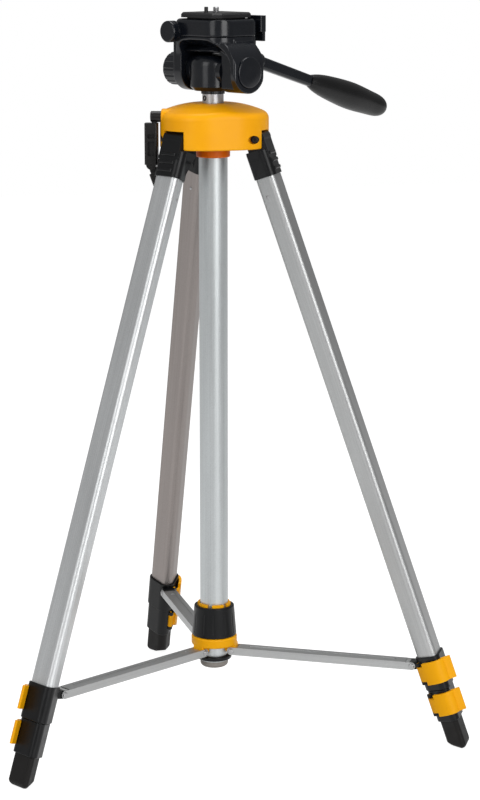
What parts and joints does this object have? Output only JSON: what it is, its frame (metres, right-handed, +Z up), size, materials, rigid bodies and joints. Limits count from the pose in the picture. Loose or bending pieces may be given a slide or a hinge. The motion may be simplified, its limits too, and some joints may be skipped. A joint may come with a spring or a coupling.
{
  "type": "laser level tripod",
  "caption": "Folding tripod for a levelling instrument: telescoping legs with flip-lever collars, braced spreader, crank-geared column, pan-and-tilt head with a quick-release plate.",
  "frame": {"origin": "on the floor under the centre column's axis", "axes": "+Z up along the centre column, +Y towards the rear leg, +X to the right seen from the front"},
  "size_m": [0.4926, 0.4278, 0.7689],
  "materials": {
    "yellow_plastic": "satin",
    "anodised_aluminium": "satin",
    "column_aluminium": "satin",
    "brace_metal": "satin",
    "bright_steel": "polished",
    "collar_plastic": "matte",
    "foot_rubber": "matte",
    "cap_plastic": "matte",
    "crank_plastic": "matte",
    "head_plastic": "satin",
    "grip_rubber": "satin",
    "plate_rubber": "matte",
    "pin_plastic": "matte"
  },
  "bodies": {
    "stand": {"crown_housing": "yellow_plastic", "leg_hinge_pins": "collar_plastic", "guide_tube": "anodised_aluminium", "tube_end_cap": "cap_plastic", "stop_ring": "collar_plastic", "column_bush": "collar_plastic"},
    "column": {"column_tube": "column_aluminium", "column_guide_plug": "collar_plastic", "pan_base": "head_plastic"},
    "crank": {"crank_shaft": "crank_plastic", "crank_arm": "crank_plastic"},
    "crank_grip": {"crank_grip": "crank_plastic"},
    "column_lock": {"column_lock_knob": "collar_plastic"},
    "spreader_hub": {"brace_hub": "yellow_plastic"},
    "lock_nut": {"spread_lock_nut": "collar_plastic"},
    "right_brace": {"right_brace": "brace_metal", "right_brace_rivets": "bright_steel"},
    "right_leg": {"right_leg_bracket": "collar_plastic", "right_leg_tube": "anodised_aluminium", "right_upper_collar": "collar_plastic"},
    "right_middle_section": {"right_middle_tube": "anodised_aluminium", "right_lower_collar": "collar_plastic"},
    "right_lower_section": {"right_lower_tube": "anodised_aluminium", "right_foot": "foot_rubber"},
    "right_upper_lever": {"right_upper_lever": "yellow_plastic"},
    "right_lower_lever": {"right_lower_lever": "yellow_plastic"},
    "rear_brace": {"rear_brace": "brace_metal", "rear_brace_rivets": "bright_steel"},
    "rear_leg": {"rear_leg_bracket": "collar_plastic", "rear_leg_tube": "anodised_aluminium", "rear_upper_collar": "collar_plastic"},
    "rear_middle_section": {"rear_middle_tube": "anodised_aluminium", "rear_lower_collar": "collar_plastic"},
    "rear_lower_section": {"rear_lower_tube": "anodised_aluminium", "rear_foot": "foot_rubber"},
    "rear_upper_lever": {"rear_upper_lever": "yellow_plastic"},
    "rear_lower_lever": {"rear_lower_lever": "yellow_plastic"},
    "left_brace": {"left_brace": "brace_metal", "left_brace_rivets": "bright_steel"},
    "left_leg": {"left_leg_bracket": "collar_plastic", "left_leg_tube": "anodised_aluminium", "left_upper_collar": "collar_plastic"},
    "left_middle_section": {"left_middle_tube": "anodised_aluminium", "left_lower_collar": "collar_plastic"},
    "left_lower_section": {"left_lower_tube": "anodised_aluminium", "left_foot": "foot_rubber"},
    "left_upper_lever": {"left_upper_lever": "yellow_plastic"},
    "left_lower_lever": {"left_lower_lever": "yellow_plastic"},
    "head_post": {"neck_post": "head_plastic"},
    "yoke": {"yoke": "head_plastic"},
    "tilt_knob": {"tilt_knob": "head_plastic"},
    "pan_handle": {"handle_rod": "head_plastic", "handle_grip": "grip_rubber"},
    "platform": {"platform": "head_plastic"},
    "side_knob": {"side_knob": "head_plastic"},
    "plate_latch": {"qr_lever": "head_plastic"},
    "plate": {"qr_plate": "plate_rubber"},
    "instrument_screw": {"laser_screw": "bright_steel"},
    "index_pin": {"index_pin": "pin_plastic"}
  },
  "joints": [
    {"name": "column_slide", "type": "slide", "parent": "stand", "child": "column", "axis": [0, 0, 1], "range_m": [0, 0.24]},
    {"name": "crank_turn", "type": "hinge", "parent": "stand", "child": "crank", "pos_m": [-0.00695, -0.0191, 0.658], "axis": [-0.9397, 0.342, 0], "range_deg": [-1692.9, 0]},
    {"name": "crank_grip_fold", "type": "hinge", "parent": "crank", "child": "crank_grip", "pos_m": [-0.06474, 0.00194, 0.609], "axis": [0.342, 0.9397, 0], "range_deg": [0, 110]},
    {"name": "column_lock_turn", "type": "hinge", "parent": "stand", "child": "column_lock", "pos_m": [0.04936, 0.0285, 0.6455], "axis": [0.866, 0.5, 0], "range_deg": [0, 180]},
    {"name": "hub_slide", "type": "slide", "parent": "stand", "child": "spreader_hub", "axis": [0, 0, 1], "range_m": [0, 0.17172]},
    {"name": "lock_nut_turn", "type": "hinge", "parent": "spreader_hub", "child": "lock_nut", "pos_m": [0, 0, 0.10509], "axis": [0, 0, 1], "range_deg": [0, 120]},
    {"name": "right_brace_fold", "type": "hinge", "parent": "spreader_hub", "child": "right_brace", "pos_m": [0.01775, -0.01025, 0.08509], "axis": [0.5, 0.866, 0], "range_deg": [0, 84.48]},
    {"name": "right_leg_fold", "type": "hinge", "parent": "right_brace", "child": "right_leg", "pos_m": [0.18892, -0.10907, 0.08509], "axis": [0.5, 0.866, 0], "range_deg": [-66.48, 0]},
    {"name": "right_middle_slide", "type": "slide", "parent": "right_leg", "child": "right_middle_section", "axis": [0.2891, -0.1669, -0.9426], "range_m": [0, 0.42]},
    {"name": "right_lower_slide", "type": "slide", "parent": "right_middle_section", "child": "right_lower_section", "axis": [0.2891, -0.1669, -0.9426], "range_m": [0, 0.4]},
    {"name": "right_upper_lever_swing", "type": "hinge", "parent": "right_leg", "child": "right_upper_lever", "pos_m": [0.19453, -0.12172, 0.07812], "axis": [0.2891, -0.1669, -0.9426], "range_deg": [0, 80]},
    {"name": "right_lower_lever_swing", "type": "hinge", "parent": "right_middle_section", "child": "right_lower_lever", "pos_m": [0.20588, -0.12708, 0.04457], "axis": [0.2891, -0.1669, -0.9426], "range_deg": [0, 80]},
    {"name": "rear_brace_fold", "type": "hinge", "parent": "spreader_hub", "child": "rear_brace", "pos_m": [0, 0.0205, 0.08509], "axis": [-1, 0, 0], "range_deg": [0, 84.48]},
    {"name": "rear_leg_fold", "type": "hinge", "parent": "rear_brace", "child": "rear_leg", "pos_m": [0, 0.21814, 0.08509], "axis": [-1, 0, 0], "range_deg": [-66.48, 0]},
    {"name": "rear_middle_slide", "type": "slide", "parent": "rear_leg", "child": "rear_middle_section", "axis": [0, 0.3338, -0.9426], "range_m": [0, 0.42]},
    {"name": "rear_lower_slide", "type": "slide", "parent": "rear_middle_section", "child": "rear_lower_section", "axis": [0, 0.3338, -0.9426], "range_m": [0, 0.4]},
    {"name": "rear_upper_lever_swing", "type": "hinge", "parent": "rear_leg", "child": "rear_upper_lever", "pos_m": [0.00815, 0.22932, 0.07812], "axis": [0, 0.3338, -0.9426], "range_deg": [0, 80]},
    {"name": "rear_lower_lever_swing", "type": "hinge", "parent": "rear_middle_section", "child": "rear_lower_lever", "pos_m": [0.00711, 0.24184, 0.04457], "axis": [0, 0.3338, -0.9426], "range_deg": [0, 80]},
    {"name": "left_brace_fold", "type": "hinge", "parent": "spreader_hub", "child": "left_brace", "pos_m": [-0.01775, -0.01025, 0.08509], "axis": [0.5, -0.866, 0], "range_deg": [0, 84.48]},
    {"name": "left_leg_fold", "type": "hinge", "parent": "left_brace", "child": "left_leg", "pos_m": [-0.18892, -0.10907, 0.08509], "axis": [0.5, -0.866, 0], "range_deg": [-66.48, 0]},
    {"name": "left_middle_slide", "type": "slide", "parent": "left_leg", "child": "left_middle_section", "axis": [-0.2891, -0.1669, -0.9426], "range_m": [0, 0.42]},
    {"name": "left_lower_slide", "type": "slide", "parent": "left_middle_section", "child": "left_lower_section", "axis": [-0.2891, -0.1669, -0.9426], "range_m": [0, 0.4]},
    {"name": "left_upper_lever_swing", "type": "hinge", "parent": "left_leg", "child": "left_upper_lever", "pos_m": [-0.20267, -0.10761, 0.07812], "axis": [-0.2891, -0.1669, -0.9426], "range_deg": [0, 80]},
    {"name": "left_lower_lever_swing", "type": "hinge", "parent": "left_middle_section", "child": "left_lower_lever", "pos_m": [-0.21299, -0.11476, 0.04457], "axis": [-0.2891, -0.1669, -0.9426], "range_deg": [0, 80]},
    {"name": "pan", "type": "hinge", "parent": "column", "child": "head_post", "pos_m": [0, 0, 0.6839], "axis": [0, 0, 1], "continuous": true},
    {"name": "tilt", "type": "hinge", "parent": "head_post", "child": "yoke", "pos_m": [0, 0, 0.7042], "axis": [0.5, -0.866, 0], "range_deg": [-15, 60]},
    {"name": "tilt_knob_turn", "type": "hinge", "parent": "yoke", "child": "tilt_knob", "pos_m": [-0.019, 0.03291, 0.7042], "axis": [0.5, -0.866, 0], "continuous": true},
    {"name": "handle_twist", "type": "hinge", "parent": "yoke", "child": "pan_handle", "pos_m": [0.03732, -0.02464, 0.7152], "axis": [0.8295, 0.4789, -0.2874], "range_deg": [0, 180]},
    {"name": "side_tilt", "type": "hinge", "parent": "yoke", "child": "platform", "pos_m": [-0.0155, 0.02685, 0.7436], "axis": [-0.866, -0.5, 0], "range_deg": [0, 90]},
    {"name": "side_knob_turn", "type": "hinge", "parent": "platform", "child": "side_knob", "pos_m": [-0.0375, 0.01415, 0.7436], "axis": [0.866, 0.5, 0], "continuous": true},
    {"name": "plate_latch_swing", "type": "hinge", "parent": "platform", "child": "plate_latch", "pos_m": [0.03973, 0.01139, 0.7492], "axis": [0, 0, 1], "range_deg": [0, 60]},
    {"name": "plate_lift", "type": "slide", "parent": "platform", "child": "plate", "axis": [0, 0, 1], "range_m": [0, 0.03]},
    {"name": "instrument_screw_turn", "type": "hinge", "parent": "plate", "child": "instrument_screw", "pos_m": [0.00398, 0.0023, 0.7631], "axis": [0, 0, 1], "continuous": true},
    {"name": "index_pin_sink", "type": "slide", "parent": "plate", "child": "index_pin", "axis": [0, 0, -1], "range_m": [0, 0.004], "stiffness_N_per_m": 300}
  ],
  "couplings": [
    {"joint": "crank_turn", "follows": "column_slide", "rad_per_m": -123.08},
    {"joint": "right_brace_fold", "follows": "hub_slide", "rad_per_m": 8.5819},
    {"joint": "right_leg_fold", "follows": "hub_slide", "rad_per_m": -6.7523},
    {"joint": "rear_brace_fold", "follows": "hub_slide", "rad_per_m": 8.5819},
    {"joint": "rear_leg_fold", "follows": "hub_slide", "rad_per_m": -6.7523},
    {"joint": "left_brace_fold", "follows": "hub_slide", "rad_per_m": 8.5819},
    {"joint": "left_leg_fold", "follows": "hub_slide", "rad_per_m": -6.7523}
  ]
}
